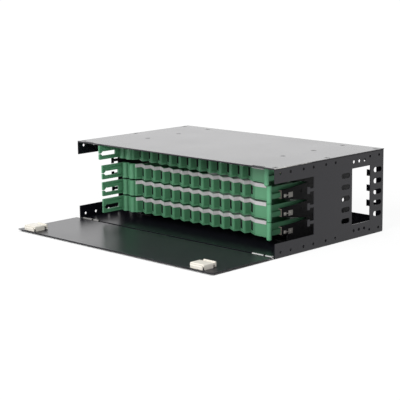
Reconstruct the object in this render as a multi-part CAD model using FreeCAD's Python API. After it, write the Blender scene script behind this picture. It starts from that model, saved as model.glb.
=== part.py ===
"""Fibre patch panel for a 19-inch rack, three rack units high.

A folded steel chassis with a flat cover, a drop-down door on two plated hinges,
and four moulded patch trays that slide out on rails. Each tray has a saw-tooth
front of angled adapter ports and a slotted cord arm at its left end.

Millimetres. While a piece is drawn, x runs to the right, y runs back from the
chassis front and z up from its underside. Each piece is then moved so that the
origin is the centre of the underside.
"""
import FreeCAD, Part
import math
import os

os.makedirs("parts", exist_ok=True)
V = FreeCAD.Vector

# Chassis
WIDTH = 438.0
DEPTH = 258.0
HEIGHT = 132.5
SHEET = 1.2
BEND = 1.8
TOP_FLANGE = 13.0
REAR_FLANGE = 14.0
SILL = 22.5
RELIEF = 1.0
NOTCH_DEPTH = 87.3
LIP_HIGH = 3.8
LIP_GAP = 5.8
LIP_END_GAP = 2.6

# Tie tabs, shaped like a T, on the notch and on the rear flange
TAB_STEM = 9.2
TAB_STEM_REAR = 13.2
TAB_STEM_HIGH = 4.8
TAB_HEAD = 5.4
TAB_HEAD_HIGH = 10.2
TAB_PITCH = 24.4
TAB_COUNT = 3

# Holes in the side walls
EAR_HOLE_R = 2.2
EAR_EDGE = 8.3
EAR_FIRST = 12.2
EAR_SPACING = 22.6
EAR_PITCH = 51.4
EAR_PAIRS = 3
REAR_EAR_EDGE = 12.6
REAR_EAR_SPACING = 23.1
CABLE_HOLE_R = 2.6
CABLE_HOLE_EDGE = 12.5
CABLE_HOLE_INSET = 4.5
CABLE_HOLE_PITCH = 13.3
CABLE_HOLES = 3
SLOT_LONG = 20.0
SLOT_HIGH = 8.0
SLOT_PITCH = 17.5
SLOT_COUNT = 5
SLOT_EDGE = 5.8
SLOT_GAP = 5.7
WINDOW_EDGE = 34.8
WINDOW_LONG = 45.3

# Cover
HEM = 8.0
COVER_GAP = 0.5

# Door and hinges, both hinges of one hand and so not mirror images
DOOR_GAP = 3.0
DOOR_TOP_GAP = 3.3
HINGE_R = 2.4
HINGE_RISE = 3.2
PIN_R = 1.2
PIN_PLAY = 0.05
HINGE_INSET_RIGHT = 1.6
HINGE_INSET_LEFT = 14.6
BARREL_FIXED = 12.4
BARREL_MOVING = 22.0
BARREL_GAP = 4.0
LEAF = 1.0
LEAF_LONG = 14.0
DOOR_CLEAR = 1.5
DOOR_CORNER = 1.2

# Door latches, both of one moulding and so not mirror images
LATCH_INSET_RIGHT = 33.5
LATCH_INSET_LEFT = 26.5
LATCH_WIDE = 27.0
LATCH_LONG = 19.5
LATCH_HIGH = 8.0
LATCH_WALL = 1.6
LATCH_FRONT = 3.0
LATCH_ROUND = 1.5
LATCH_SLIT = 2.0
LATCH_SLIT_HIGH = 4.4
BOLT_TIP = 1.5
BOLT_THICK = 2.6
BOLT_RISE = 3.6
BOLT_PLAY = 0.35
BOLT_STROKE = 5.0
BOLT_TAB_GAP = 0.4
BOLT_TAB_HIGH = 7.6
BOLT_ROUND = 1.0
THUMB_LONG = 9.0
THUMB_WIDE = 14.0
THUMB_HIGH = 1.7
STEM_LONG = 4.0
STEM_WIDE = 8.0

# Trays
TRAY_COUNT = 4
TRAY_FIRST = 14.9
TRAY_GAP = 2.85
TRAY_HEADROOM = 8.25
TRAY_WALL = 1.8
TRAY_FLOOR = 1.8
CABLE_BAY = 62.3
TRAY_REAR_GAP = 36.0
TRAY_CORNER = 12.0
SIDE_HIGH = 19.0
ENTRY_WIDE = 30.0

# Saw-tooth port front
PORTS = 12
TOOTH_FLANK = 3.6
TOOTH_DEEP = 10.4
PEAK_Y = 51.8
LEFT_END = 24.1
FLAT_END = 24.7
FLAT_OUT = 1.8
FRONT_WALL = 1.2
RIM_HIGH = 1.6
RIM_OUT = 0.7
PORT_WIDE = 9.6
PORT_HIGH = 13.4
PORT_LOW = 4.4
PORT_SHIFT = 5.0
LABEL_HIGH = 5.6
LABEL_THICK = 0.7
LABEL_DOWN = 0.3
LABEL_END = 22.5

# Tray ends
POST_R = 3.8
POST_DROP = 4.3
POST_GAP = 0.35
POST_CLEAR = 0.5
POST_CHAMFER = 1.4
COLUMN_R = 5.3
COLUMN_OUT = 1.8
COLUMN_INSET = 9.2
ARM_OUT = 6.3
ARM_THICK = 2.8
ARM_FRONT = 3.8
ARM_LOW = 2.0
ARM_CORNER = 1.2
ARROW_DROP = 1.0
ARROW_TIP = 2.6
ARROW_HEAD = 6.9
ARROW_HEAD_HIGH = 11.6
ARROW_SHAFT_HIGH = 7.2
ARROW_LONG = 32.0
ARROW_SLIT = 1.2
FLUTE_FIRST = 10.0
FLUTE_LONG = 32.0
FLUTE_TIP_R = 0.6
FLUTE_R = 2.5
FLUTE_DEEP = 1.2
FLUTE_EDGE = 1.4

# Fibre hub moulded on the tray floor
HUB_INSET = 78.7
HUB_REAR_GAP = 70.0
HUB_R = 30.0
HUB_CUT = 12.0
HUB_WALL = 1.8
HUB_HIGH = 12.0
KEEPER_LONG = 9.0
KEEPER_WIDE = 8.0
KEEPER_THICK = 1.4

# Runners, rails and brackets
RUNNER_LOW = 1.9
RUNNER_HIGH = 7.3
RUNNER_PLAY = 0.4
RUNNER_TOP_PLAY = 1.6
SEAT_PLAY = 0.3
RAIL_GAP = 0.6
RAIL_DEEP = 6.0
RAIL_SHEET = 1.6
RAIL_FRONT = 78.0
RAIL_REAR_GAP = 46.0
BRACKET_REAR_GAP = 11.0
BRACKET_FLANGE = 24.0
BRACKET_FLANGE_FRONT = 90.0
FINGER_END = 136.0
FINGER_RISE = 4.7
FINGER_SLOT = 1.6
PEEP_INSET = 21.5
PEEP_Z = 48.2
PEEP_R = 3.0
PASS_INSET = 41.0
PASS_LONG = 34.0
PASS_LOW = 8.0
PASS_HIGH = 15.0

# Tray catches on the right bracket
CATCH_FIRST = 82.0
CATCH_PAD = 9.0
CATCH_PAD_HIGH = 8.0
CATCH_FOOT = 5.0
CATCH_LONG = 19.8
CATCH_NECK = 1.2
CATCH_THICK = 0.8
CATCH_RISE = 3.9

# The top tray stands a little way out, and its cord end is lifted
TOP_TRAY_OUT = 5.6
TOP_TRAY_LIFT = 5.3

# Places worked out from the sizes above
HALF = WIDTH / 2
MID_Z = HEIGHT / 2
COVER_Z = HEIGHT - SHEET
HINGE_Y = -DOOR_GAP
DOOR_Z = HINGE_RISE - SHEET / 2
DOOR_TOP = DOOR_Z + SHEET
DOOR_END = HINGE_Y - (HEIGHT - HINGE_RISE - DOOR_TOP_GAP)
DOOR_TAIL = HINGE_Y - HINGE_R - DOOR_CLEAR
HINGE_LONG = BARREL_MOVING + BARREL_GAP + BARREL_FIXED
HINGE_X = {"right": HALF - HINGE_INSET_RIGHT - HINGE_LONG, "left": HINGE_INSET_LEFT - HALF}
LIP_Y = DOOR_TAIL + LIP_GAP
LATCH_X = {"right": HALF - LATCH_INSET_RIGHT, "left": LATCH_INSET_LEFT - HALF}
WINDOW_FIRST = DEPTH - WINDOW_EDGE - WINDOW_LONG
SLOT_FIRST = WINDOW_FIRST - SLOT_GAP - SLOT_LONG
SLOT_LAST = DEPTH - SLOT_EDGE - SLOT_LONG
CABLE_HOLE_FIRST = WINDOW_FIRST + CABLE_HOLE_INSET
REAR_EAR_FIRST = DEPTH - REAR_EAR_EDGE - REAR_EAR_SPACING
LATCH_Y = DOOR_END + LATCH_FRONT
STEM_Y = LATCH_Y + LATCH_LONG / 2
BOLT_Z = DOOR_TOP + BOLT_RISE
BOLT_HALF = LATCH_WIDE / 2 - LATCH_WALL - BOLT_PLAY
BOLT_TAIL = BOLT_STROKE + BOLT_TAB_GAP + BOLT_THICK
TRAY_PITCH = (HEIGHT - TRAY_HEADROOM - TRAY_FIRST + TRAY_GAP) / TRAY_COUNT
TRAY_HIGH = TRAY_PITCH - TRAY_GAP
TRAY_Z = [TRAY_FIRST + k * TRAY_PITCH for k in range(TRAY_COUNT)]
TRAY_HALF = HALF - CABLE_BAY
TRAY_REAR = DEPTH - TRAY_REAR_GAP
TOOTH_FIRST = LEFT_END - TRAY_HALF
FLAT_LAST = TRAY_HALF + FLAT_OUT
TOOTH_LAST = FLAT_LAST - FLAT_END
TOOTH_PITCH = (TOOTH_LAST - TOOTH_FIRST) / PORTS
TOOTH_FACE = TOOTH_PITCH - TOOTH_FLANK
COLUMN_X = (-TRAY_HALF - COLUMN_OUT, TOOTH_FIRST - COLUMN_INSET)
ARM_X = -TRAY_HALF - ARM_OUT
HUB_X = TRAY_HALF - HUB_INSET
HUB_Y = TRAY_REAR - HUB_REAR_GAP
POST_X = FLAT_LAST + POST_R
POST_Y = PEAK_Y - FRONT_WALL / 2
POST_LONG = TRAY_PITCH - POST_GAP
BAND_LAST = FLAT_LAST - POST_CLEAR
RUNNER_FRONT = POST_Y + POST_R + POST_CLEAR
RUNNER_OUT = RAIL_DEEP - RAIL_SHEET - RUNNER_PLAY
RAIL_HIGH = RUNNER_HIGH + SEAT_PLAY + RUNNER_TOP_PLAY + 2 * RAIL_SHEET
RAIL_REAR = DEPTH - RAIL_REAR_GAP
BRACKET_REAR = DEPTH - BRACKET_REAR_GAP
PEEP_Y = BRACKET_REAR - PEEP_INSET
PASS_FIRST = BRACKET_REAR - PASS_INSET
RAIL_IN = TRAY_HALF + RAIL_GAP
RAIL_OUT = RAIL_IN + RAIL_DEEP
BRACKET_OUT = RAIL_OUT + SHEET
RAIL_LOW = RUNNER_LOW - SEAT_PLAY - RAIL_SHEET
ARROW_MID = TRAY_HIGH / 2 - ARROW_DROP


def box(x0, x1, y0, y1, z0, z1):
    """A block between two corners."""
    return Part.makeBox(x1 - x0, y1 - y0, z1 - z0, V(x0, y0, z0))


def rod(centre, along, radius, length):
    """A round bar that starts at centre."""
    return Part.makeCylinder(radius, length, V(*centre), V(*along))


def prism(points, z0, z1):
    """A straight-sided solid over a flat outline of x, y points."""
    ring = [V(x, y, z0) for x, y in points]
    face = Part.Face(Part.makePolygon(ring + ring[:1]))
    return face.extrude(V(0, 0, z1 - z0))


def side_prism(points, x0, x1):
    """A straight-sided solid over an outline of y, z points, from x0 to x1."""
    ring = [V(x0, y, z) for y, z in points]
    face = Part.Face(Part.makePolygon(ring + ring[:1]))
    return face.extrude(V(x1 - x0, 0, 0))


def fuse(shapes):
    """All the shapes as one solid, with no seams left between them."""
    return shapes[0].fuse(shapes[1:]).removeSplitter()


def mirrored(shape):
    """The same piece for the other side of the panel."""
    return shape.mirror(V(0, 0, 0), V(1, 0, 0))


def picked(shape, wanted):
    """The straight edges whose middle point the test picks."""
    straight = [e for e in shape.Edges if e.Curve.TypeId == "Part::GeomLine"]
    return [e for e in straight if wanted(e.CenterOfMass, e)]


def round_edges(shape, radius, wanted):
    """Round the straight edges that the test picks."""
    return shape.makeFillet(radius, picked(shape, wanted))


def near(a, b):
    """True where two lengths agree."""
    return abs(a - b) < 0.01


def save(shape, name):
    """Write one piece, with the origin at the centre of the underside."""
    piece = shape.copy()
    piece.translate(V(0, -DEPTH / 2, 0))
    piece.exportStep("parts/" + name + ".step")
    print(name, len(piece.Solids), piece.isValid(), round(piece.Volume))


def tab_heights():
    """The heights of the tie tabs."""
    return [MID_Z + (k - (TAB_COUNT - 1) / 2) * TAB_PITCH for k in range(TAB_COUNT)]


def slot_cutter(first, z):
    """A round-ended slot through both side walls."""
    r = SLOT_HIGH / 2
    middle = box(-HALF - 1, HALF + 1, first + r, first + SLOT_LONG - r, z - r, z + r)
    ends = [rod((-HALF - 1, first + d, z), (1, 0, 0), r, WIDTH + 2) for d in (r, SLOT_LONG - r)]
    return fuse([middle] + ends)


def side_cutters():
    """Every opening that goes through both side walls."""
    cutters = [box(-HALF - 1, HALF + 1, -1, NOTCH_DEPTH, SILL, HEIGHT - SILL)]
    cutters.append(box(-HALF - 1, HALF + 1, WINDOW_FIRST, WINDOW_FIRST + WINDOW_LONG, SILL, HEIGHT - SILL))
    for k in range(SLOT_COUNT):
        z = MID_Z + (k - (SLOT_COUNT - 1) / 2) * SLOT_PITCH
        cutters += [slot_cutter(SLOT_FIRST, z), slot_cutter(SLOT_LAST, z)]
    places = [EAR_FIRST + k * EAR_PITCH + d for k in range(EAR_PAIRS) for d in (0, EAR_SPACING)]
    places += [REAR_EAR_FIRST, REAR_EAR_FIRST + REAR_EAR_SPACING]
    for y in places:
        for z in (EAR_EDGE, HEIGHT - EAR_EDGE):
            cutters.append(rod((-HALF - 1, y, z), (1, 0, 0), EAR_HOLE_R, WIDTH + 2))
    for k in range(CABLE_HOLES):
        y = CABLE_HOLE_FIRST + k * CABLE_HOLE_PITCH
        for z in (CABLE_HOLE_EDGE, HEIGHT - CABLE_HOLE_EDGE):
            cutters.append(rod((-HALF - 1, y, z), (1, 0, 0), CABLE_HOLE_R, WIDTH + 2))
    return cutters


def tie_tab_side(z):
    """A tie tab that points forward from the notch of the right wall."""
    stem_end = NOTCH_DEPTH - TAB_STEM
    head_end = stem_end - TAB_HEAD
    h, s = TAB_HEAD_HIGH / 2, TAB_STEM_HIGH / 2
    stem = box(HALF - SHEET, HALF, stem_end, NOTCH_DEPTH + 1, z - s, z + s)
    head = box(HALF - SHEET, HALF, head_end, stem_end, z - h, z + h)
    return [stem, head]


def tie_tab_rear(z):
    """A tie tab that points inward from the right rear flange."""
    flange = HALF - REAR_FLANGE
    stem_end = flange - TAB_STEM_REAR
    h, s = TAB_HEAD_HIGH / 2, TAB_STEM_HIGH / 2
    stem = box(stem_end, flange + 1, DEPTH - SHEET, DEPTH, z - s, z + s)
    head = box(stem_end - TAB_HEAD, stem_end, DEPTH - SHEET, DEPTH, z - h, z + h)
    return [stem, head]


def hinge_barrel(x, length):
    """One rolled barrel of a hinge, without its bore."""
    return rod((x, HINGE_Y, HINGE_RISE), (1, 0, 0), HINGE_R, length)


def hinge_bore(x):
    """The bore through a hinge that starts at x."""
    return rod((x - 1, HINGE_Y, HINGE_RISE), (1, 0, 0), PIN_R + PIN_PLAY, HINGE_LONG + 2)


def lip(first, last):
    """A stretch of the floor's front lip, close behind the open door."""
    tongue = box(first, last, LIP_Y, 1, 0, SHEET)
    upright = box(first, last, LIP_Y, LIP_Y + SHEET, 0, LIP_HIGH)
    return [tongue, upright]


def chassis():
    """Floor, side walls, top flanges and rear frame, folded from one sheet."""
    top = COVER_Z
    shell = box(-HALF, HALF, 0, DEPTH, 0, top)
    hollow = box(-HALF + SHEET, HALF - SHEET, -1, DEPTH - SHEET, SHEET, top - SHEET)
    roof = box(-HALF + TOP_FLANGE, HALF - TOP_FLANGE, -1, DEPTH + 1, top - SHEET - 1, top + 1)
    rear = box(-HALF + REAR_FLANGE, HALF - REAR_FLANGE, DEPTH - SHEET - 1, DEPTH + 1, SILL, top + 1)
    body = shell.cut([hollow, roof, rear])

    def is_bend(p, edge):
        floor_or_top = near(abs(p.x), HALF) and (near(p.z, 0) or near(p.z, top)) and edge.Length > DEPTH - 5
        upright = near(abs(p.x), HALF) and near(p.y, DEPTH)
        sill = near(p.y, DEPTH) and near(p.z, 0)
        return floor_or_top or upright or sill

    body = round_edges(body, BEND, is_bend)
    cutters = side_cutters()
    for side in (-1, 1):
        x = side * (HALF - REAR_FLANGE)
        cutters.append(box(x - RELIEF / 2, x + RELIEF / 2, DEPTH - SHEET - 1, DEPTH + 1, SHEET, SILL + 1))
    body = body.cut(cutters)
    extras = []
    for z in tab_heights():
        extras += tie_tab_side(z) + tie_tab_rear(z)
    extras += [mirrored(e) for e in extras]
    extras += lip(BEND - HALF, HINGE_X["left"] - LIP_END_GAP)
    extras += lip(HINGE_X["left"] + HINGE_LONG + LIP_END_GAP, HINGE_X["right"] - LIP_END_GAP)
    return fuse([body] + extras)


def cover():
    """Flat top sheet with a hemmed front edge and a rear flange."""
    sheet = box(-HALF, HALF, 0, DEPTH, COVER_Z, HEIGHT)
    inside = HALF - TOP_FLANGE - COVER_GAP
    hem = box(-inside, inside, 0, HEM, COVER_Z - SHEET, COVER_Z)
    rear_in = HALF - REAR_FLANGE - COVER_GAP
    rear = box(-rear_in, rear_in, DEPTH - SHEET, DEPTH, HEIGHT - SILL, COVER_Z)
    body = fuse([sheet, hem, rear])
    body = round_edges(body, SHEET, lambda p, e: near(p.y, 0) and near(p.z, COVER_Z - SHEET))
    cutters = []
    slot_y = HINGE_Y + BOLT_Z - HINGE_RISE
    for x in LATCH_X.values():
        wide = BOLT_HALF + 2 * BOLT_PLAY
        low_y, high_y = slot_y - BOLT_PLAY, slot_y + BOLT_THICK + BOLT_PLAY
        cutters.append(box(x - wide, x + wide, low_y, high_y, COVER_Z - SHEET - 1, HEIGHT + 1))
    return body.cut(cutters)


def bracket():
    """Right upright that carries four rails on fingers, with folded flanges."""
    web_in = BRACKET_OUT - SHEET
    low, high = SHEET, COVER_Z
    web = box(web_in, BRACKET_OUT, RAIL_FRONT, BRACKET_REAR, low, high)
    flange_in = BRACKET_OUT - BRACKET_FLANGE
    flanges = []
    for z in (low, high - SHEET):
        flanges.append(box(flange_in, BRACKET_OUT, BRACKET_FLANGE_FRONT, BRACKET_REAR, z, z + SHEET))
    body = fuse([web] + flanges)
    edges_z = [low] + [z + RAIL_LOW + d for z in TRAY_Z for d in (0, RAIL_HIGH)] + [high]
    cutters = []
    x0, x1 = web_in - 1, BRACKET_OUT + 1
    front = RAIL_FRONT - 1
    for low_z, high_z in zip(edges_z[::2], edges_z[1::2]):
        if low_z == low or high_z == high:
            cutters.append(box(x0, x1, front, BRACKET_FLANGE_FRONT, low_z, high_z))
        else:
            narrow = low_z + FINGER_RISE
            gap = [(front, low_z), (FINGER_END, narrow), (FINGER_END, narrow + FINGER_SLOT), (front, high_z)]
            cutters.append(side_prism(gap, x0, x1))
    cutters.append(rod((x0, PEEP_Y, PEEP_Z), (1, 0, 0), PEEP_R, x1 - x0))
    cutters.append(box(x0, x1, PASS_FIRST, PASS_FIRST + PASS_LONG, PASS_LOW, PASS_LOW + PASS_HIGH))
    return body.cut(cutters)


def rail_right(z):
    """Right rail: a channel that holds the tray's runner above and below."""
    low = z + RAIL_LOW
    outer = box(RAIL_IN, RAIL_OUT, RAIL_FRONT, RAIL_REAR, low, low + RAIL_HIGH)
    groove = box(RAIL_IN - 1, RAIL_OUT - RAIL_SHEET, RAIL_FRONT - 1, RAIL_REAR + 1,
                 low + RAIL_SHEET, low + RAIL_HIGH - RAIL_SHEET)
    return outer.cut(groove)


def rail_left(z):
    """Left rail: an open ledge, so that a tray can be lifted out."""
    low = z + RAIL_LOW
    outer = box(-RAIL_OUT, -RAIL_IN, RAIL_FRONT, RAIL_REAR, low, low + RAIL_HIGH)
    step = box(-RAIL_OUT + RAIL_SHEET, -RAIL_IN + 1, RAIL_FRONT - 1, RAIL_REAR + 1,
               low + RAIL_SHEET, low + RAIL_HIGH + 1)
    return outer.cut(step)


def catch(z):
    """Leaf spring on the right bracket that holds a tray in."""
    middle = z + CATCH_RISE
    x0, x1 = BRACKET_OUT, BRACKET_OUT + CATCH_THICK
    last = CATCH_FIRST + CATCH_LONG
    f, n, p = CATCH_FOOT / 2, CATCH_NECK / 2, CATCH_PAD_HIGH / 2
    foot = box(x0, x1, CATCH_FIRST, CATCH_FIRST + CATCH_FOOT, middle - f, middle + f)
    neck = box(x0, x1, CATCH_FIRST + CATCH_FOOT - 1, last - CATCH_PAD + 1, middle - n, middle + n)
    pad = box(x0, x1, last - CATCH_PAD, last, middle - p, middle + p)
    return fuse([foot, neck, pad])


def front_line(first, last):
    """The face of the front wall from end to end, seen from above."""
    points = [(first, PEAK_Y)]
    for k in range(PORTS):
        x = TOOTH_FIRST + k * TOOTH_PITCH
        points += [(x, PEAK_Y), (x + TOOTH_PITCH - TOOTH_FACE, PEAK_Y + TOOTH_DEEP)]
    return points + [(TOOTH_LAST, PEAK_Y), (last, PEAK_Y)]


def set_back(points, back):
    """The same line, moved back square to each of its stretches."""
    normals = []
    for a, b in zip(points, points[1:]):
        length = math.hypot(b[0] - a[0], b[1] - a[1])
        normals.append(((a[1] - b[1]) / length, (b[0] - a[0]) / length))
    moved = []
    for p, m, n in zip(points, normals[:1] + normals, normals + normals[-1:]):
        share = back / (1 + m[0] * n[0] + m[1] * n[1])
        moved.append((p[0] + share * (m[0] + n[0]), p[1] + share * (m[1] + n[1])))
    return moved


def front_band(front, back, first, last, z0, z1):
    """A band that follows the saw-tooth between two distances from its face."""
    line = front_line(first, last)
    return prism(set_back(line, front) + set_back(line, back)[::-1], z0, z1)


def port_cutter(k):
    """The cut-out for one adapter, square to its slanted face and near the valley."""
    angle = math.degrees(math.atan2(TOOTH_DEEP, TOOTH_FACE))
    x = TOOTH_FIRST + (k + 1) * TOOTH_PITCH - TOOTH_FACE / 2
    y = PEAK_Y + TOOTH_DEEP / 2
    deep = 2 * FRONT_WALL
    first = -PORT_SHIFT - PORT_WIDE / 2
    hole = box(first, first + PORT_WIDE, -deep, deep, PORT_LOW, PORT_LOW + PORT_HIGH)
    hole.rotate(V(0, 0, 0), V(0, 0, 1), -angle)
    hole.translate(V(x, y, 0))
    return hole


def arm_flute(z, radius):
    """A tapered flute in the inner face of the cord arm, deepest near the columns."""
    face = ARM_X + ARM_THICK / 2
    start = V(face + FLUTE_TIP_R, ARM_FRONT + FLUTE_FIRST, z)
    end = V(face + radius - FLUTE_DEEP, ARM_FRONT + FLUTE_FIRST + FLUTE_LONG, z)
    return Part.makeCone(FLUTE_TIP_R, radius, (end - start).Length, start, end - start)


def arm():
    """Cord arm: an upright plate with a barbed slot that opens at the front."""
    x0, x1 = ARM_X - ARM_THICK / 2, ARM_X + ARM_THICK / 2
    plate = box(x0, x1, ARM_FRONT, PEAK_Y, ARM_LOW, TRAY_HIGH)
    plate = round_edges(plate, ARM_CORNER, lambda p, e: near(p.y, ARM_FRONT) and near(p.x, ARM_X))
    tip = ARM_FRONT + ARROW_TIP
    barb = tip + ARROW_HEAD
    end = tip + ARROW_LONG
    h, s = ARROW_HEAD_HIGH / 2, ARROW_SHAFT_HIGH / 2
    upper = [(tip, 0), (barb, h), (barb, s), (end, s)]
    outline = upper + [(y, -z) for y, z in upper[:0:-1]]
    arrow = side_prism([(y, ARROW_MID + z) for y, z in outline], x0 - 1, x1 + 1)
    t = ARROW_SLIT / 2
    slit = box(x0 - 1, x1 + 1, ARM_FRONT - 1, tip + ARROW_SLIT, ARROW_MID - t, ARROW_MID + t)
    spans = ((ARM_LOW, ARROW_MID - s), (ARROW_MID + s, TRAY_HIGH))
    flutes = []
    for low, high in spans:
        radius = min(FLUTE_R, (high - low) / 2 - FLUTE_EDGE)
        flutes.append(arm_flute((low + high) / 2, radius))
    return plate.cut([arrow, slit] + flutes)


def hub_end(side):
    """One end of the hub for slack fibre: an arc with a keeper over the turns."""
    z0 = TRAY_FLOOR / 2
    top = TRAY_FLOOR + HUB_HIGH
    x = side * HUB_X
    turn = math.degrees(math.acos(HUB_CUT / HUB_R))
    arc = Part.makeCylinder(HUB_R, top - z0, V(0, 0, z0), V(0, 0, 1), 2 * turn)
    arc = arc.cut(rod((0, 0, 0), (0, 0, 1), HUB_R - HUB_WALL, top + 1))
    arc.rotate(V(0, 0, 0), V(0, 0, 1), -turn if side > 0 else 180 - turn)
    arc.translate(V(x, HUB_Y, 0))
    reach = sorted((x + side * (HUB_R - HUB_WALL), x + side * (HUB_R + KEEPER_LONG)))
    half = KEEPER_WIDE / 2
    keeper = box(reach[0], reach[1], HUB_Y - half, HUB_Y + half, top - KEEPER_THICK, top)
    return [arc, keeper]


def column(x):
    """A half-round column that stands out of the front wall's left end."""
    round_bar = rod((x, PEAK_Y, 0), (0, 0, 1), COLUMN_R, TRAY_HIGH)
    front = box(x - COLUMN_R, x + COLUMN_R, 0, PEAK_Y + FRONT_WALL, 0, TRAY_HIGH)
    return round_bar.common(front)


def tray():
    """One moulded patch tray, drawn with its underside at height zero."""
    band = front_band(0, FRONT_WALL, COLUMN_X[0], BAND_LAST, 0, TRAY_HIGH)
    rim = front_band(-RIM_OUT, FRONT_WALL / 2, COLUMN_X[0], BAND_LAST, 0, RIM_HIGH)
    back = PEAK_Y + FRONT_WALL
    r = TRAY_CORNER
    outline = set_back(front_line(-TRAY_HALF, TRAY_HALF), FRONT_WALL / 2)
    outline += [(TRAY_HALF, TRAY_REAR), (-TRAY_HALF, TRAY_REAR)]
    floor = prism(outline, 0, TRAY_FLOOR)
    walls = box(-TRAY_HALF, TRAY_HALF, back - 1, TRAY_REAR, 0, SIDE_HIGH)

    def is_rear_corner(p, edge):
        return near(abs(p.x), TRAY_HALF) and near(p.y, TRAY_REAR)

    floor = round_edges(floor, r, is_rear_corner)
    walls = round_edges(walls, r, is_rear_corner)
    w = TRAY_WALL
    core = box(-TRAY_HALF + w, TRAY_HALF - w, back - 2, TRAY_REAR - w, -1, SIDE_HIGH + 1)
    core = round_edges(core, r - w, lambda p, e: near(abs(p.x), TRAY_HALF - w) and near(p.y, TRAY_REAR - w))
    walls = walls.cut(core)
    entries = []
    for side in (-1, 1):
        x = sorted((side * (TRAY_HALF - r), side * (TRAY_HALF - r - ENTRY_WIDE)))
        entries.append(box(x[0], x[1], TRAY_REAR - w - 1, TRAY_REAR + 1, TRAY_FLOOR, SIDE_HIGH + 1))
    walls = walls.cut(entries)
    runners = []
    for side in (-1, 1):
        x = sorted((side * (TRAY_HALF - 0.5), side * (TRAY_HALF + RUNNER_OUT)))
        runners.append(box(x[0], x[1], RUNNER_FRONT, TRAY_REAR - r, RUNNER_LOW, RUNNER_LOW + RUNNER_HIGH))
    pieces = [band, rim, floor, walls, arm()] + [column(x) for x in COLUMN_X] + runners
    pieces += hub_end(-1) + hub_end(1)
    return fuse(pieces).cut([port_cutter(k) for k in range(PORTS)])


def tray_post():
    """Round post at the tray's right end, with the web that meets the front wall."""
    web = box(BAND_LAST, POST_X, PEAK_Y, PEAK_Y + FRONT_WALL, 0, POST_LONG - POST_DROP)
    post = rod((POST_X, POST_Y, -POST_DROP), (0, 0, 1), POST_R, POST_LONG)
    lower_rim = [e for e in post.Edges if near(e.CenterOfMass.z, -POST_DROP) and e.Closed]
    return fuse([post.makeChamfer(POST_CHAMFER, lower_rim), web])


def label():
    """Label strip that follows the saw-tooth under the tray's top edge."""
    top = TRAY_HIGH - LABEL_DOWN
    return front_band(-LABEL_THICK, 0, TOOTH_FIRST - 1, TOOTH_LAST + LABEL_END, top - LABEL_HIGH, top)


def place_tray(shape, k):
    """Stand a tray's piece at its height; the top tray is drawn out and lifted."""
    piece = shape.copy()
    if k == TRAY_COUNT - 1:
        pivot = V(TRAY_HALF + RUNNER_OUT / 2, 0, RUNNER_LOW)
        angle = math.degrees(math.asin(TOP_TRAY_LIFT / (TRAY_HALF - ARM_X)))
        piece.rotate(pivot, V(0, 1, 0), angle)
        piece.translate(V(0, -TOP_TRAY_OUT, 0))
    piece.translate(V(0, 0, TRAY_Z[k]))
    return piece


def stem_slot(x, low, high):
    """The slot that lets a latch's stem slide."""
    half = STEM_WIDE / 2 + BOLT_PLAY
    reach = STEM_LONG / 2 + BOLT_PLAY
    return box(x - half, x + half, STEM_Y - BOLT_STROKE - reach, STEM_Y + reach, low, high)


def door():
    """Flat drop-down door, drawn lying open."""
    plate = box(-HALF, HALF, DOOR_END, DOOR_TAIL, DOOR_Z, DOOR_TOP)

    def is_free_corner(p, edge):
        return near(abs(p.x), HALF) and near(p.y, DOOR_END)

    plate = round_edges(plate, DOOR_CORNER, is_free_corner)
    return plate.cut([stem_slot(x, DOOR_Z - 1, DOOR_TOP + 1) for x in LATCH_X.values()])


def fixed_leaf(x):
    """Chassis half of a hinge: a barrel welded to the floor's front edge."""
    first = x + BARREL_MOVING + BARREL_GAP
    foot = box(first, first + BARREL_FIXED, HINGE_Y, 0, SHEET - LEAF, SHEET)
    return fuse([hinge_barrel(first, BARREL_FIXED), foot]).cut(hinge_bore(x))


def moving_leaf(x):
    """Door half of a hinge: a barrel with a strap riveted under the door."""
    strap = box(x, x + BARREL_MOVING, DOOR_TAIL - LEAF_LONG, HINGE_Y, DOOR_Z - LEAF, DOOR_Z)
    return fuse([hinge_barrel(x, BARREL_MOVING), strap]).cut(hinge_bore(x))


def hinge_pin(x):
    """Steel pin of a hinge, held in the chassis half."""
    return rod((x, HINGE_Y, HINGE_RISE), (1, 0, 0), PIN_R, HINGE_LONG)


def latch_housing(x):
    """Moulded latch guide, with a tunnel for the bolt and a slit at its front corner."""
    x0, x1 = x - LATCH_WIDE / 2, x + LATCH_WIDE / 2
    y0, y1 = LATCH_Y, LATCH_Y + LATCH_LONG
    top = DOOR_TOP + LATCH_HIGH
    block = box(x0, x1, y0, y1, DOOR_TOP, top)

    def is_rounded(p, edge):
        upright = near(p.x, x0) and (near(p.y, y0) or near(p.y, y1))
        return near(p.z, top) or upright

    block = round_edges(block, LATCH_ROUND, is_rounded)
    half = BOLT_HALF + BOLT_PLAY
    low, high = BOLT_Z - BOLT_PLAY, BOLT_Z + BOLT_THICK + BOLT_PLAY
    tunnel = box(x - half, x + half, y0 - 1, y1 + 1, low, high)
    slit = box(x1 - LATCH_SLIT, x1 + 1, y0 - 1, y0 + LATCH_SLIT, DOOR_TOP - 1, DOOR_TOP + LATCH_SLIT_HIGH)
    return block.cut([tunnel, slit, stem_slot(x, DOOR_TOP - 1, high)])


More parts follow.
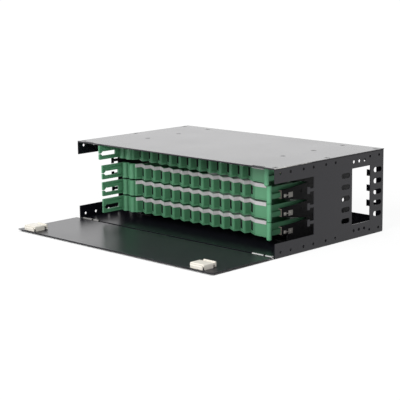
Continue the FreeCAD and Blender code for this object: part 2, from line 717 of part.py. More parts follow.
def latch_bolt(x):
    """Sliding latch bolt, with a finger tab behind and a thumb pad under the door."""
    tip = DOOR_END + BOLT_TIP
    tail = LATCH_Y + LATCH_LONG + BOLT_TAIL
    high = BOLT_Z + BOLT_THICK
    x0, x1 = x - BOLT_HALF, x + BOLT_HALF
    bar = box(x0, x1, tip, tail, BOLT_Z, high)
    tab_top = DOOR_TOP + LATCH_HIGH
    tab = box(x0, x1, tail - BOLT_THICK, tail, tab_top - BOLT_TAB_HIGH, tab_top)
    tab = round_edges(tab, BOLT_ROUND, lambda p, e: near(p.z, tab_top) and near(p.x, x))
    s, t = STEM_WIDE / 2, THUMB_WIDE / 2
    pad_top = DOOR_Z - BOLT_PLAY
    stem = box(x - s, x + s, STEM_Y - STEM_LONG / 2, STEM_Y + STEM_LONG / 2, pad_top, BOLT_Z)
    pad = box(x - t, x + t, STEM_Y - THUMB_LONG / 2, STEM_Y + THUMB_LONG / 2, pad_top - THUMB_HIGH, pad_top)
    return fuse([bar, tab, stem, pad])


save(chassis(), "chassis")
save(cover(), "top_cover")
save(bracket(), "rail_bracket_right")
save(mirrored(bracket()), "rail_bracket_left")
tray_shape = tray()
post_shape = tray_post()
label_shape = label()
for number in range(TRAY_COUNT):
    order = str(TRAY_COUNT - number)
    save(rail_right(TRAY_Z[number]), "rail_right_" + order)
    save(rail_left(TRAY_Z[number]), "rail_left_" + order)
    save(catch(TRAY_Z[number]), "tray_catch_" + order)
    save(place_tray(tray_shape, number), "patch_tray_" + order)
    save(place_tray(post_shape, number), "tray_post_" + order)
    save(place_tray(label_shape, number), "label_strip_" + order)
save(door(), "door")
for side in ("right", "left"):
    save(fixed_leaf(HINGE_X[side]), "hinge_fixed_" + side)
    save(moving_leaf(HINGE_X[side]), "hinge_moving_" + side)
    save(hinge_pin(HINGE_X[side]), "hinge_pin_" + side)
    save(latch_housing(LATCH_X[side]), "latch_housing_" + side)
    save(latch_bolt(LATCH_X[side]), "latch_bolt_" + side)
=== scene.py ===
# %% [markdown]
# # A fibre patch panel on a white table
#
# The panel is a black steel box for a 19-inch rack. Its door lies open in
# front of it, and four green trays of fibre ports stand inside. The solid
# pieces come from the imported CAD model, so this lesson is about finishes,
# small fasteners, light and the camera.

# %% Load the frame
import math

import bmesh
import bpy
from mathutils import Matrix, Vector


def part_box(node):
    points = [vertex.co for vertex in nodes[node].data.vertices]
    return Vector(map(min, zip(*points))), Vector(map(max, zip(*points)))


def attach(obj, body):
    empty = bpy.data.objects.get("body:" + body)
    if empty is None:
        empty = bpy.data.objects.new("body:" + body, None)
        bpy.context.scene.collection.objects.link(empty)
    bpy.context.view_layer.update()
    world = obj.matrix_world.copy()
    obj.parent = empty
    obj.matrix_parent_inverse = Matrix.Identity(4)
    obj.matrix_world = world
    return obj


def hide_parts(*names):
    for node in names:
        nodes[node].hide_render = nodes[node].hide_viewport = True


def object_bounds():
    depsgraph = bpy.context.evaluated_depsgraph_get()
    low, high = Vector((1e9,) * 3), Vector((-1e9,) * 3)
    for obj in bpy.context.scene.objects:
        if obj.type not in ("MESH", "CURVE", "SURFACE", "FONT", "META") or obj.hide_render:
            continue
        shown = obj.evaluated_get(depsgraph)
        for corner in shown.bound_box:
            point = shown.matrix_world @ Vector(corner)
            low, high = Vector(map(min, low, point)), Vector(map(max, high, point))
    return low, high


MM = 0.001
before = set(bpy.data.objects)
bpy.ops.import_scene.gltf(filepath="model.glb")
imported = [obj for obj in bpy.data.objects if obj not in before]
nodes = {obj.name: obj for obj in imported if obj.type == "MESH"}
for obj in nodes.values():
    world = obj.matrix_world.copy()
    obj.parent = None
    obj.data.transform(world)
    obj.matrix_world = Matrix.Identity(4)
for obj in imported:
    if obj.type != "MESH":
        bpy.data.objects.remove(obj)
cad_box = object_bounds()
print("nodes", len(nodes), "box", [round(v, 4) for p in cad_box for v in p])

# %% [markdown]
# ## Shader maths that reads like maths
#
# A finish is a small program made of nodes, and its sums are Math nodes. They
# could be wired one by one, but that hides the idea. So a socket is wrapped in
# a class that understands +, -, *, < and >, and a sum is written as a sum.

# %% A socket with arithmetic
class Value:
    """A number, colour or vector that changes over a surface."""

    def __init__(self, finish, socket):
        self.finish = finish
        self.socket = socket

    def math(self, operation, a, b):
        return self.finish.node("Math", {"operation": operation}, {0: a, 1: b})

    def __add__(self, other):
        return self.math("ADD", self, other)

    def __radd__(self, other):
        return self.math("ADD", other, self)

    def __sub__(self, other):
        return self.math("SUBTRACT", self, other)

    def __rsub__(self, other):
        return self.math("SUBTRACT", other, self)

    def __mul__(self, other):
        return self.math("MULTIPLY", self, other)

    def __rmul__(self, other):
        return self.math("MULTIPLY", other, self)

    def __gt__(self, other):
        return self.math("GREATER_THAN", self, other)

    def __lt__(self, other):
        return self.math("LESS_THAN", self, other)

# %% [markdown]
# ## A finish
#
# A finish holds one tree of nodes. Every node comes from one method. It sets
# the node's own settings first, because they can change which sockets there
# are, and then the sockets. A few short methods name the nodes that come up
# again and again.

# %% A finish that makes nodes
class Finish:
    """A material, or the tree of the room, with one method that adds any node."""

    def __init__(self, name, tree=None):
        if tree is None:
            self.material = bpy.data.materials.new(name)
            self.material.use_nodes = True
            tree = self.material.node_tree
        self.tree = tree
        self.tree.nodes.clear()

    def plug(self, socket, value):
        if isinstance(value, Value):
            self.tree.links.new(value.socket, socket)
        else:
            socket.default_value = value

    def node(self, kind, settings=None, sockets=None, out=0):
        new = self.tree.nodes.new("ShaderNode" + kind)
        for key, value in (settings or {}).items():
            setattr(new, key, value)
        for key, value in (sockets or {}).items():
            self.plug(new.inputs[key], value)
        return Value(self, new.outputs[out]) if new.outputs else new

    def place(self):
        """Where a point of the surface is, in metres in the object's own frame."""
        return self.node("TexCoord", out="Object")

    def part(self, vector, axis):
        """The X, Y or Z of a vector."""
        return self.node("SeparateXYZ", {}, {"Vector": vector}, out=axis)

    def noise(self, scale, detail=2.0, stretch=None):
        """Soft cloudy noise from 0 to 1; scale counts the clouds in a metre."""
        where = self.place()
        if stretch:
            where = self.node("VectorMath", {"operation": "MULTIPLY"}, {0: where, 1: stretch})
        return self.node("TexNoise", {}, {"Vector": where, "Scale": scale, "Detail": detail})

    def mix(self, factor, a, b):
        """A colour between a and b."""
        return self.node("Mix", {"data_type": "RGBA"}, {0: factor, 6: a, 7: b}, out=2)

    def bump(self, height, strength, distance):
        return self.node("Bump", {}, {"Height": height, "Strength": strength, "Distance": distance})

    def surface(self, sockets):
        shader = self.node("BsdfPrincipled", {}, sockets)
        self.node("OutputMaterial", {}, {"Surface": shader})
        print("finish", self.material.name, len(self.tree.nodes), "nodes")
        return self.material

# %% [markdown]
# ## Finishes by name
#
# Each CAD piece is an object with a name, and pieces of one kind start alike.
# So a finish is given by the start of a name, which needs no list of all the
# pieces and still holds when one more tray is added.

# %% Paint by name
def paint(names, material):
    """Give a finish to CAD nodes by name."""
    for name in names:
        nodes[name].data.materials.clear()
        nodes[name].data.materials.append(material)


def named(start):
    """The CAD nodes whose names start that way."""
    return [name for name in nodes if name.startswith(start)]


print("trays", len(named("patch_tray")), "latch pieces", len(named("latch_")))

# %% [markdown]
# ## Black powder coat
#
# The sheet steel is powder coated: a smooth semi-gloss black with a faint
# orange peel. It is nearly black seen square on, and turns pale where it
# mirrors a white room at a low angle, as the cover does. A paler colour would
# look right from one side only. So the colour stays dark and the gloss does
# the work. Handling leaves the gloss a little uneven.

# %% Powder coat
COAT_DARK, COAT_PALE = (0.0045, 0.004, 0.0075, 1), (0.0075, 0.007, 0.011, 1)
PEEL_DEEP = 0.2 * MM


def powder_coat(name, smooth, ior):
    """The start of a black coat: colour, roughness and bump that vary a little."""
    coat = Finish(name)
    peel = coat.noise(900.0, 2.0)
    haze = coat.noise(11.0, 3.0)
    colour = coat.mix(haze, COAT_DARK, COAT_PALE)
    relief = coat.bump(peel, 0.1, PEEL_DEEP)
    return coat, colour, {"Roughness": smooth + haze * 0.05, "IOR": ior, "Normal": relief}


coat, colour, sockets = powder_coat("black_powder_coat", 0.28, 1.42)
black_paint = coat.surface({"Base Color": colour, **sockets})
paint(["chassis", "door"], black_paint)

# %% [markdown]
# ## Cover coat
#
# The cover has a glossier coat. Along its right edge, towards the front corner,
# a pale steel colour is painted as a highlight, patchy and fading to the back.
# A mask made from the place on the sheet keeps the painted highlight to the last
# half millimetre, so the mesh needs no extra faces for it.

# %% Cover coat with a painted edge highlight
HIGHLIGHT_STRIP = 0.5 * MM
HIGHLIGHT_FADE = 9.0
EDGE_HIGHLIGHT_COLOUR = (0.62, 0.60, 0.58, 1)
coat, colour, sockets = powder_coat("cover_powder_coat", 0.23, 1.56)
cover_low, cover_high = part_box("top_cover")
at_edge = coat.part(coat.place(), "X") > cover_high.x - HIGHLIGHT_STRIP
patchy = coat.noise(60.0, 2.0) * 2.2 - 0.2
to_the_back = coat.part(coat.place(), "Y") - cover_low.y
# Painted highlight: pale steel along the right edge, patchy and fading towards the back.
edge_highlight_mask = coat.node("Clamp", {}, {"Value": at_edge * (patchy - to_the_back * HIGHLIGHT_FADE)})
cover_paint = coat.surface({"Base Color": coat.mix(edge_highlight_mask, colour, EDGE_HIGHLIGHT_COLOUR), **sockets})
paint(["top_cover"], cover_paint)

# %% [markdown]
# ## Matt black rails
#
# The uprights and rails inside are dipped, not sprayed, so they are matt. The
# rails are cut to length after that, and their front ends show bare steel. The
# direction of the surface finds those ends, so no face is picked by hand.

# %% Matt black
DIP_DARK, DIP_PALE = (0.005, 0.005, 0.006, 1), (0.010, 0.010, 0.011, 1)
CUT_STEEL = (0.34, 0.30, 0.26, 1)
FACES_FRONT = -0.9


def black_dip(name):
    """The start of a matt black: a mottled colour and roughness."""
    dip = Finish(name)
    mottle = dip.noise(120.0, 3.0)
    colour = dip.mix(mottle, DIP_DARK, DIP_PALE)
    return dip, colour, {"Roughness": 0.5 + mottle * 0.15, "IOR": 1.35}


dip, colour, sockets = black_dip("bracket_black")
matt_black = dip.surface({"Base Color": colour, **sockets})
paint(named("rail_bracket"), matt_black)

dip, colour, sockets = black_dip("rail_black")
bare_end = dip.part(dip.node("NewGeometry", out="True Normal"), "Y") < FACES_FRONT
rail_black = dip.surface({"Base Color": dip.mix(bare_end, colour, CUT_STEEL), **sockets})
paint(named("rail_right") + named("rail_left"), rail_black)

# %% [markdown]
# ## Green moulding
#
# The trays are moulded in one green plastic. A fine spark-eroded grain breaks
# up its gloss, and the colour drifts a little as the melt flows. The inner
# corners between teeth and columns get painted shade: their colour is darkened
# towards a dark green. An Ambient Occlusion node finds such corners from the
# tray's own shape, so nothing needs to be painted by hand.

# %% Green plastic
# Painted shade: the dark green that the inner corners are darkened towards.
CORNER_SHADE = (0.016, 0.050, 0.026, 1)
CORNER_REACH = 12 * MM
GRAIN_DEEP = 0.1 * MM
FLOW_STRETCH = (1.0, 1.0, 3.0)


def green_moulding(name, dark, bright):
    """Green plastic whose colour drifts between two shades, with painted shade in its inner corners."""
    moulding = Finish(name)
    grain = moulding.noise(2200.0, 2.0)
    flow = moulding.noise(9.0, 3.0, FLOW_STRETCH)
    unshaded = moulding.mix(flow, (*dark, 1), (*bright, 1))
    open_air = moulding.node("AmbientOcclusion", {"only_local": True}, {"Distance": CORNER_REACH}, out="AO")
    return moulding.surface({
        # Painted shade: the colour darkens towards a dark green where the tray's own shape closes in.
        "Base Color": moulding.mix((1 - open_air) * 0.75, unshaded, CORNER_SHADE),
        "Roughness": 0.38 + grain * 0.12,
        "IOR": 1.48,
        "Normal": moulding.bump(grain, 0.1, GRAIN_DEEP),
    })


tray_green = green_moulding("tray_green", (0.087, 0.272, 0.144), (0.108, 0.317, 0.170))
# The posts are the same plastic as the trays; their paler copy of the green is painted light.
post_green_lit = green_moulding("post_green_lit", (0.113, 0.365, 0.196), (0.135, 0.415, 0.224))
paint(named("patch_tray"), tray_green)
paint(named("tray_post"), post_green_lit)

# %% [markdown]
# ## Label strips
#
# A pale grey strip runs along each port front under a clear film, so it is
# smooth, with a little paper fibre in the colour. Fine noise gives the fibre,
# which stays sharp however near the camera comes.

# %% Label paper
strip = Finish("label_paper")
fibre = strip.noise(700.0, 4.0)
label_paper = strip.surface({
    "Base Color": strip.mix(fibre, (0.50, 0.48, 0.49, 1), (0.60, 0.58, 0.59, 1)),
    "Roughness": 0.42 + fibre * 0.1,
})
paint(named("label_strip"), label_paper)

# %% [markdown]
# ## Cream latches
#
# The latches are a pale cream plastic with a fine grain. One speckle drives
# colour, gloss and bump, so that the three agree at every point.

# %% Cream plastic
cream = Finish("cream_moulding")
speck = cream.noise(1600.0, 2.0)
cream_plastic = cream.surface({
    "Base Color": cream.mix(speck, (0.75, 0.715, 0.635, 1), (0.81, 0.775, 0.70, 1)),
    "Roughness": 0.34 + speck * 0.1,
    "Normal": cream.bump(speck, 0.08, GRAIN_DEEP),
})
paint(named("latch_"), cream_plastic)

# %% [markdown]
# ## Zinc and oiled steel
#
# The catches are dull zinc, which is only partly metallic under its skin. The
# right hinge is bright zinc, and the left one is the same zinc drawn darker in
# patches. The hinge pins are oiled steel, so they stay dark. All four are the
# same crystals with other shades, so one function makes them.

# %% Metals
def metal(name, dark, bright, smooth, metallic=1.0):
    """Metal with soft crystals in its colour and gloss; a dull skin is less metallic."""
    plate = Finish(name)
    spangle = plate.noise(450.0, 3.0)
    return plate.surface({
        "Base Color": plate.mix(spangle, (*dark, 1), (*bright, 1)),
        "Metallic": metallic,
        "Roughness": smooth + spangle * 0.12,
    })


zinc_plate = metal("zinc_plate", (0.48, 0.46, 0.43), (0.60, 0.58, 0.54), 0.34, 0.3)
hinge_zinc = metal("hinge_zinc", (0.30, 0.30, 0.30), (0.48, 0.48, 0.47), 0.16)
# The left hinge: the same zinc, drawn darker in patches.
dark_patchy_zinc = metal("dark_patchy_zinc", (0.05, 0.05, 0.05), (0.40, 0.39, 0.38), 0.20)
oiled_steel = metal("oiled_steel", (0.04, 0.04, 0.04), (0.07, 0.07, 0.07), 0.30)
paint(named("tray_catch"), zinc_plate)
paint(["hinge_fixed_right", "hinge_moving_right"], hinge_zinc)
paint(["hinge_fixed_left", "hinge_moving_left"], dark_patchy_zinc)
paint(named("hinge_pin"), oiled_steel)

# %% [markdown]
# ## From points to a piece
#
# The small pieces that follow are built point by point in a bmesh, which is
# Blender's workbench for meshes. Each is a row of closed loops with faces
# between them, so one helper does the joining for all. Two more turn the
# result into an object and say which moving body carries it.

# %% Helpers for new pieces
def skin(mesh, loops, ring=False):
    """Join closed loops in order; then join the last to the first, or close both ends."""
    pairs = list(zip(loops, loops[1:]))
    if ring:
        pairs.append((loops[-1], loops[0]))
    for low, high in pairs:
        for k in range(len(low)):
            n = (k + 1) % len(low)
            mesh.faces.new((low[k], low[n], high[n], high[k]))
    if not ring:
        mesh.faces.new(loops[0][::-1])
        mesh.faces.new(loops[-1])


def shown(name, data, material):
    """A new object for a mesh, with its finish."""
    thing = bpy.data.objects.new(name, data)
    bpy.context.scene.collection.objects.link(thing)
    data.materials.clear()
    data.materials.append(material)
    return thing


def piece_from(mesh, name, material):
    """Turn a finished bmesh into an object."""
    bmesh.ops.recalc_face_normals(mesh, faces=mesh.faces)
    data = bpy.data.meshes.new(name)
    mesh.to_mesh(data)
    mesh.free()
    print("piece", name, len(data.polygons), "faces")
    return shown(name, data, material)


def carried(piece, body):
    """Make a piece move with a body."""
    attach(piece, body)

# %% [markdown]
# ## Small turned pieces
#
# Screws and rivets are turned or pressed, so each is a stack of rings round an
# axis. A ring may wave in and out four times, which draws a cross recess with
# no cutting. All the fasteners of one kind make one piece.

# %% A stack of rings
RING_POINTS = 32
CROSS_ARMS = 4


def turned(name, rings, places, axis, material):
    """Equal turned shapes in one mesh; a ring is height and radius in mm, and its share of wave."""
    mesh = bmesh.new()
    turn = Vector(axis).to_track_quat("Z", "Y").to_matrix().to_4x4()
    for place in places:
        stand = Matrix.Translation(place) @ turn
        loops = []
        for height, radius, wave in rings:
            loop = []
            for k in range(RING_POINTS):
                angle = 2 * math.pi * k / RING_POINTS
                r = radius * (1 + wave * math.cos(CROSS_ARMS * angle))
                spot = Vector((r * math.cos(angle), r * math.sin(angle), height)) * MM
                loop.append(mesh.verts.new(stand @ spot))
            loops.append(loop)
        skin(mesh, loops)
    return piece_from(mesh, name, material)

# %% [markdown]
# ## Cover with countersunk screws
#
# Screws hold the cover to the side flanges and to the two uprights. Their
# heads lie flush, because another panel may stand right on top. The sheet
# needs a cone-shaped seat for each, so a copy of the cover is cut with cones
# and stands for the CAD sheet.

# %% Screw places
EDGE_ROW, EDGE_DEPTHS = 212.5 * MM, (8.5 * MM, 125 * MM, 244 * MM)
INNER_ROW, INNER_DEPTHS = 150.5 * MM, (96 * MM, 168.5 * MM, 240 * MM)
screw_places = []
for side in (-1, 1):
    for row, depths in ((EDGE_ROW, EDGE_DEPTHS), (INNER_ROW, INNER_DEPTHS)):
        screw_places += [Vector((side * row, cover_low.y + depth, cover_high.z)) for depth in depths]
print("screws", len(screw_places))

# %% Cover with seats
SEAT_RINGS = [(-1.4, 3.1, 0), (0.1, 4.4, 0)]
seats = turned("seat_cutter", SEAT_RINGS, screw_places, (0, 0, 1), cover_paint)
sheet = shown("drilled_cover", nodes["top_cover"].data.copy(), cover_paint)
cut = sheet.modifiers.new("seats", "BOOLEAN")
cut.object = seats
cut.operation = "DIFFERENCE"
cut.solver = "EXACT"
solved = sheet.evaluated_get(bpy.context.evaluated_depsgraph_get())
drilled = bpy.data.meshes.new_from_object(solved)
sheet.modifiers.remove(cut)
sheet.data = drilled
bpy.data.objects.remove(seats)
carried(sheet, "chassis")
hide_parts("top_cover")
print("drilled cover", len(drilled.polygons), "faces")

# %% Screws
HEAD_RINGS = [(-1.15, 2.95, 0), (-0.3, 3.85, 0), (-0.15, 3.95, 0), (-0.12, 3.7, 0), (-0.12, 1.55, 0.42),
              (-0.6, 1.3, 0.45), (-0.9, 0.7, 0.3)]
screws = turned("cover_screws", HEAD_RINGS, screw_places, (0, 0, 1), oiled_steel)
carried(screws, "chassis")

# %% [markdown]
# ## Rivets
#
# A blind rivet has a low dome with the stub of its pulled stem in the middle.
# Rivets hold the catches and rails to the uprights, and the hinge straps to
# the door. Their places are measured from the pieces that they hold.

# %% Catch rivets
CATCH_BACK_RIVET, CATCH_FRONT_RIVET = 4.5 * MM, 2.5 * MM


def rivet(radius, height):
    """The rings of a blind rivet's head, with the dimple of its stem."""
    r, h = radius, height
    return [(0, r, 0), (0.3 * h, r, 0), (0.7 * h, 0.84 * r, 0), (h, 0.52 * r, 0), (0.96 * h, 0.42 * r, 0),
            (0.55 * h, 0.38 * r, 0), (0.55 * h, 0.12 * r, 0)]


catch_places = []
for name in named("tray_catch"):
    low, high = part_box(name)
    middle = (low.z + high.z) / 2
    catch_places.append(Vector((high.x, high.y - CATCH_BACK_RIVET, middle)))
    catch_places.append(Vector((high.x, low.y + CATCH_FRONT_RIVET, middle)))
catch_rivets = turned("catch_rivets", rivet(1.5, 0.7), catch_places, (1, 0, 0), zinc_plate)
carried(catch_rivets, "chassis")

# %% Rail and strap rivets
UPRIGHT_THICK = 1.2 * MM
RAIL_RIVETS = (45 * MM, 90 * MM, 125 * MM)
STRAP_THICK, STRAP_RIVET_IN = 1.0 * MM, 7 * MM
STRAP_RIVETS = (5 * MM, 17 * MM)
door_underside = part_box("door")[0].z
for side, sign in (("right", 1), ("left", -1)):
    rail_places = []
    for name in named("rail_" + side):
        low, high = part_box(name)
        face = max(abs(low.x), abs(high.x)) + UPRIGHT_THICK
        middle = (low.z + high.z) / 2
        rail_places += [Vector((sign * face, low.y + d, middle)) for d in RAIL_RIVETS]
    heads = turned("rail_rivets_" + side, rivet(2.0, 0.9), rail_places, (sign, 0, 0), matt_black)
    carried(heads, "chassis")

    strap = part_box("hinge_moving_" + side)[0]
    level = door_underside - STRAP_THICK
    strap_places = [Vector((strap.x + d, strap.y + STRAP_RIVET_IN, level)) for d in STRAP_RIVETS]
    heads = turned("strap_rivets_" + side, rivet(1.7, 0.7), strap_places, (0, 0, -1), zinc_plate)
    carried(heads, "door")

# %% [markdown]
# ## Dark leaves in the latch slits
#
# A dark spring leaf stands in the slit at the front corner of each latch and
# presses on the bolt; its dark steel is painted shade for the shaded slit. It is
# a narrow strip, wide at its foot and curled over at the top, so it is made as a
# stack of flat loops that follow the bend.

# %% Dark slit leaves
SLIT_IN = 1 * MM
LEAF_ROWS = [(0.0, 1.1, 0.15), (0.6, 1.05, 0.0), (2.4, 0.7, 0.0), (3.5, 0.45, 0.1), (4.2, 0.35, 0.3)]
LEAF_HALF_THICK = 0.2


def dark_slit_leaf(side):
    """A tapered leaf across one latch's slit; a row is height, half width and bend in mm."""
    low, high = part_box("latch_housing_" + side)
    foot = Vector((high.x - SLIT_IN, low.y + SLIT_IN, low.z))
    across = Vector((1, 1, 0)).normalized()
    outward = Vector((1, -1, 0)).normalized()
    mesh = bmesh.new()
    loops = []
    for height, half, bend in LEAF_ROWS:
        front, back = bend + LEAF_HALF_THICK, bend - LEAF_HALF_THICK
        corners = ((-half, front), (-half, back), (half, back), (half, front))
        spots = [foot + (across * w + outward * t + Vector((0, 0, height))) * MM for w, t in corners]
        loops.append([mesh.verts.new(spot) for spot in spots])
    skin(mesh, loops)
    # Painted shade: dark steel stands in the slit, where the slit is in shade.
    return piece_from(mesh, "dark_slit_leaf_" + side, oiled_steel)


for side in ("right", "left"):
    carried(dark_slit_leaf(side), "door")

# %% [markdown]
# ## Places of trays and ports
#
# The pieces on a tray are drawn once, in the tray's own millimetres, and a
# matrix carries them to each tray and port. The top tray is drawn out a little
# and lifted at its left end, so its matrix also slides and tilts.

# %% Trays and ports, in millimetres
HALF_DEPTH = 129
TRAYS, TRAY_LEVEL, TRAY_PITCH = 4, 14.9, 28.05
TOP_TRAY_OUT, TOP_TRAY_TILT = 5.6, math.radians(0.95)
TOP_TRAY_PIVOT = Vector((158.7, 0, 1.9))
PORTS, FIRST_PEAK, PORT_PITCH = 12, -132.6, 22.2
FACE_WIDE, FACE_DEEP, PEAK_DEPTH = 18.6, 10.4, 51.8


def tray_stand(number):
    """Where a tray stands; trays are counted from the top."""
    level = TRAY_LEVEL + (TRAYS - number) * TRAY_PITCH
    stand = Matrix.Scale(MM, 4) @ Matrix.Translation((0, -HALF_DEPTH, level))
    if number == 1:
        tilt = Matrix.Rotation(TOP_TRAY_TILT, 4, "Y")
        stand = stand @ Matrix.Translation((0, -TOP_TRAY_OUT, 0))
        stand = stand @ Matrix.Translation(TOP_TRAY_PIVOT) @ tilt @ Matrix.Translation(-TOP_TRAY_PIVOT)
    return stand


for number in range(1, TRAYS + 1):
    print("tray", number, "stands at", [round(v, 4) for v in tray_stand(number).translation])

# %% Loops on a slanted face
def port_stand(k):
    """Where the slanted face of one port stands on its tray."""
    middle = (FIRST_PEAK + (k + 1) * PORT_PITCH - FACE_WIDE / 2, PEAK_DEPTH + FACE_DEEP / 2, 0)
    return Matrix.Translation(middle) @ Matrix.Rotation(-math.atan2(FACE_DEEP, FACE_WIDE), 4, "Z")


def rectangle(mesh, stand, across, up, deep, inset):
    """An upright loop of four points on a face, drawn in by an inset."""
    left, right = across[0] + inset, across[1] - inset
    low, high = up[0] + inset, up[1] - inset
    corners = ((left, low), (right, low), (right, high), (left, high))
    return [mesh.verts.new(stand @ Vector((x, deep, z))) for x, z in corners]


port_places = [round(port_stand(k).translation.x, 1) for k in range(PORTS)]
print("ports from", port_places[0], "to", port_places[-1], "mm")

# %% [markdown]
# ## Port sleeves of painted shade
#
# A thin black sleeve lines each port as painted shade, so an empty port looks
# dark from the side, as its shaded inside does. It is a short square tube that
# stands in the slanted face, near the valley: two loops outside, two inside,
# and the last joined to the first.

# %% Shade sleeves
SHADE_SLEEVE_ACROSS, SHADE_SLEEVE_UP, SHADE_SLEEVE_WALL = (-9.7, -0.3), (4.5, 17.7), 0.25
SHADE_SLEEVE_FRONT, SHADE_SLEEVE_BACK = 0.05, 1.95
SHADE_SLEEVE_STEPS = [(SHADE_SLEEVE_FRONT, 0), (SHADE_SLEEVE_BACK, 0), (SHADE_SLEEVE_BACK, SHADE_SLEEVE_WALL), (SHADE_SLEEVE_FRONT, SHADE_SLEEVE_WALL)]


def port_shade_sleeves(number):
    """The black sleeves of painted shade in one tray's ports, as one piece."""
    mesh = bmesh.new()
    for k in range(PORTS):
        stand = tray_stand(number) @ port_stand(k)
        loops = [rectangle(mesh, stand, SHADE_SLEEVE_ACROSS, SHADE_SLEEVE_UP, deep, inset) for deep, inset in SHADE_SLEEVE_STEPS]
        skin(mesh, loops, ring=True)
    # Painted shade: black sleeves stand where the inside of a port is only in shade.
    return piece_from(mesh, "port_liners_%d" % number, matt_black)


for number in range(1, TRAYS + 1):
    carried(port_shade_sleeves(number), "tray_%d" % number)

# %% [markdown]
# ## Flank panels
#
# The short flank of each tooth carries a panel that leaves a pale edge all
# round. Its darker green is painted shade for the flank. It is a thin moulded
# plate with a raised bead and a shallow dish, so it is a stack of rectangles
# that shrink as they come forward.

# %% Panels
FLANK_WIDE = PORT_PITCH - FACE_WIDE
PANEL_ALONG, PANEL_UP = (1.4, 9.5), (2.6, 19.2)
PANEL_STEPS = [(0.2, 0.0), (-0.2, 0.0), (-0.4, 0.3), (-0.4, 0.9), (-0.2, 1.3)]
# Painted shade: a darker copy of the tray green for the flanks.
panel_green_shaded = green_moulding("panel_green_shaded", (0.044, 0.157, 0.076), (0.056, 0.193, 0.094))


def flank_panels(number):
    """The panels of one tray's teeth, as one piece."""
    mesh = bmesh.new()
    turn = Matrix.Rotation(math.atan2(FACE_DEEP, FLANK_WIDE), 4, "Z")
    for k in range(PORTS):
        peak = Matrix.Translation((FIRST_PEAK + k * PORT_PITCH, PEAK_DEPTH, 0))
        stand = tray_stand(number) @ peak @ turn
        loops = [rectangle(mesh, stand, PANEL_ALONG, PANEL_UP, deep, inset) for deep, inset in PANEL_STEPS]
        skin(mesh, loops)
    return piece_from(mesh, "flank_panels_%d" % number, panel_green_shaded)


for number in range(1, TRAYS + 1):
    carried(flank_panels(number), "tray_%d" % number)

# %% [markdown]
# ## Room
#
# The room is plain white. Camera and mirror rays see full white, while the
# light that falls on the panel stays at a plain level, so that colours come
# out as they are written. A Light Path node tells the two kinds of ray apart.

# %% Room
ROOM_LIGHT = 0.40


def seen_directly(finish):
    """1 for camera, mirror and glass rays, 0 for the light that bounces about."""
    camera_ray = finish.node("LightPath", out="Is Camera Ray")
    mirror_ray = finish.node("LightPath", out="Is Glossy Ray")
    glass_ray = finish.node("LightPath", out="Is Transmission Ray")
    return (camera_ray + mirror_ray + glass_ray) > 0.5


scene = bpy.context.scene
scene.view_settings.view_transform = "Standard"
scene.world = bpy.data.worlds.new("white_room")
scene.world.use_nodes = True
scene.world.cycles.sampling_method = "NONE"
room = Finish("white_room", scene.world.node_tree)
brightness = ROOM_LIGHT + seen_directly(room) * (1 - ROOM_LIGHT)
glow = room.node("Background", {}, {"Color": (1, 1, 1, 1), "Strength": brightness})
room.node("OutputWorld", {}, {"Surface": glow})
print("room", len(room.tree.nodes), "nodes")

# %% [markdown]
# ## Table
#
# The table is white too, and melts into the room. It glows for the camera, and
# near the panel a share of plain matt white is left, which takes the panel's
# soft shadow. Under the panel it doesn't glow, or the door and the floor of the
# box would seem lit from below.

# %% Table
TABLE_SIZE, TABLE_GLOW = 60, 1.04
SHADOW_NEAR, SHADOW_FAR, NEAR_GLOW = 0.3, 1.0, 0.85
bpy.ops.mesh.primitive_plane_add(size=TABLE_SIZE)
floor = bpy.context.object
floor.name = "table"
table = Finish("white_table")
table.material.cycles.emission_sampling = "NONE"
matt = table.node("BsdfDiffuse", {}, {"Color": (0.9, 0.9, 0.9, 1)})
lit = table.node("Emission", {}, {"Color": (1, 1, 1, 1), "Strength": TABLE_GLOW})
distance = table.node("VectorMath", {"operation": "LENGTH"}, {0: table.place()}, out="Value")
share = table.node("MapRange", {}, {"Value": distance, "From Min": SHADOW_NEAR, "From Max": SHADOW_FAR,
                                    "To Min": NEAR_GLOW})
across = table.part(table.place(), "X")
along = table.part(table.place(), "Y")
half_width = cad_box[1][0]
covered = (across * across < half_width ** 2) * (along > cad_box[0][1]) * (along < cad_box[1][1])
both = table.node("MixShader", {}, {0: seen_directly(table) * share * (1 - covered), 1: matt, 2: lit})
table.node("OutputMaterial", {}, {"Surface": both})
floor.data.materials.append(table.material)
print("table", len(table.tree.nodes), "nodes")

# %% [markdown]
# ## Lamps
#
# Soft boxes light the panel as in a studio. The key stands in front and a
# little to the right, so the trays are bright and the flanks of the teeth fall
# into shade. The lamp behind only shows in the gloss of the cover and the door.

# %% Lamps
PANEL_MIDDLE = (0, -0.05, 0.06)


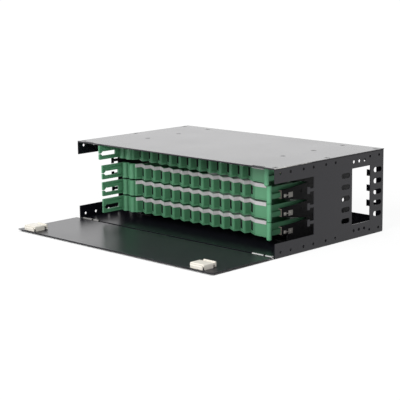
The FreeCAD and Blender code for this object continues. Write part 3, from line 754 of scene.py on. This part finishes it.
def lamp(name, place, aim, size, power):
    """A square soft box that points at a spot."""
    data = bpy.data.lights.new(name, "AREA")
    data.size = size
    data.energy = power
    box = bpy.data.objects.new(name, data)
    box.location = place
    box.rotation_euler = (Vector(aim) - Vector(place)).to_track_quat("-Z", "Y").to_euler()
    box.visible_camera = False
    scene.collection.objects.link(box)
    print(name, power, "W")
    return box


lamp("key_softbox", (0.36, -1.82, 1.20), PANEL_MIDDLE, 1.0, 29)
lamp("side_softbox", (1.7, -1.4, 0.5), PANEL_MIDDLE, 0.8, 3.5)
lamp("fill_softbox", (-1.4, -2.0, 1.2), (-0.1, -0.05, 0.06), 1.3, 7)
lamp("top_softbox", (0.2, 0.2, 2.6), (0, 0, 0), 1.6, 16)
gloss_lamp = lamp("back_softbox", (-2.2, 2.2, 0.9), (0, 0, 0.1), 2.2, 8)
gloss_lamp.visible_diffuse = False

# %% [markdown]
# ## Camera
#
# The view was worked out from the photograph's own edges: the camera stands
# 45 degrees round from the front and 11 degrees up, with a long lens. It rolls
# by less than a degree, so its axes are built one by one from the angles.

# %% Camera
AZIMUTH = math.radians(45.01)
ELEVATION = math.radians(10.84)
ROLL = math.radians(-0.75)
DISTANCE = 2.1483
AIM = Vector((-0.1248, 0.0636, 0.0161))
LENS, SENSOR_WIDE = 111.14, 36
FARTHEST = 100

back = Vector((math.sin(AZIMUTH) * math.cos(ELEVATION),
               -math.cos(AZIMUTH) * math.cos(ELEVATION), math.sin(ELEVATION)))
level_right = Vector((math.cos(AZIMUTH), math.sin(AZIMUTH), 0))
level_up = back.cross(level_right)
right = math.cos(ROLL) * level_right + math.sin(ROLL) * level_up
up = math.cos(ROLL) * level_up - math.sin(ROLL) * level_right
lens = bpy.data.cameras.new("camera")
lens.lens = LENS
lens.sensor_width = SENSOR_WIDE
lens.clip_end = FARTHEST
camera = bpy.data.objects.new("camera", lens)
turn = Matrix((right, up, back)).transposed().to_4x4()
camera.matrix_world = Matrix.Translation(AIM + back * DISTANCE) @ turn
scene.collection.objects.link(camera)
scene.camera = camera
print("camera at", [round(v, 3) for v in camera.matrix_world.translation])
